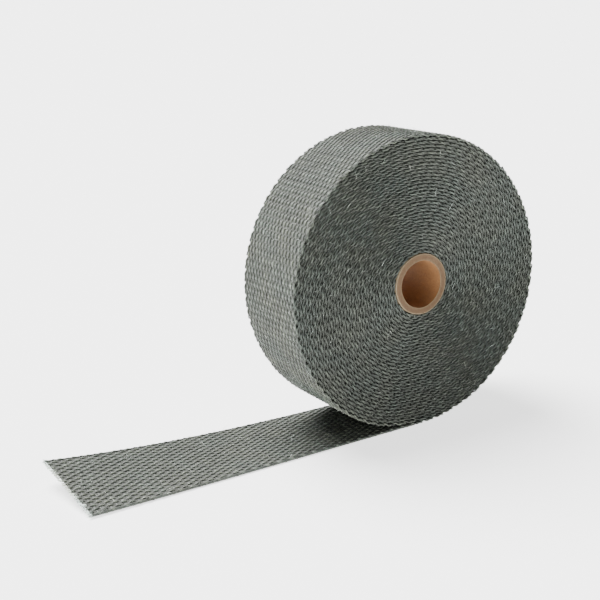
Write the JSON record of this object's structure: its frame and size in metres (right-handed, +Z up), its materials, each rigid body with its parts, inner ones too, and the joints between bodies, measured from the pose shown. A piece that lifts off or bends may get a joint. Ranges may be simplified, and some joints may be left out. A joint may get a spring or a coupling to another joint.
{
  "type": "woven heat wrap roll",
  "caption": "Roll of woven high-temperature tape for wrapping exhaust pipes, wound on a cardboard core, standing on its edge with its loose end laid out flat.",
  "frame": {"origin": "on the floor, under the middle of the bounding box", "axes": "+Z up; Y along the roll's axis, the end face at -Y towards the camera; the loose end of the tape runs out towards -X"},
  "size_m": [0.2664, 0.05, 0.155],
  "materials": {
    "woven_tape": "coarse plain weave of glassy mineral yarn, grey-green, with a low silky sheen",
    "cardboard": "matte kraft cardboard with a paler cut rim"
  },
  "bodies": {
    "root": {"woven_tape": "woven_tape", "cardboard_core": "cardboard"}
  },
  "joints": []
}
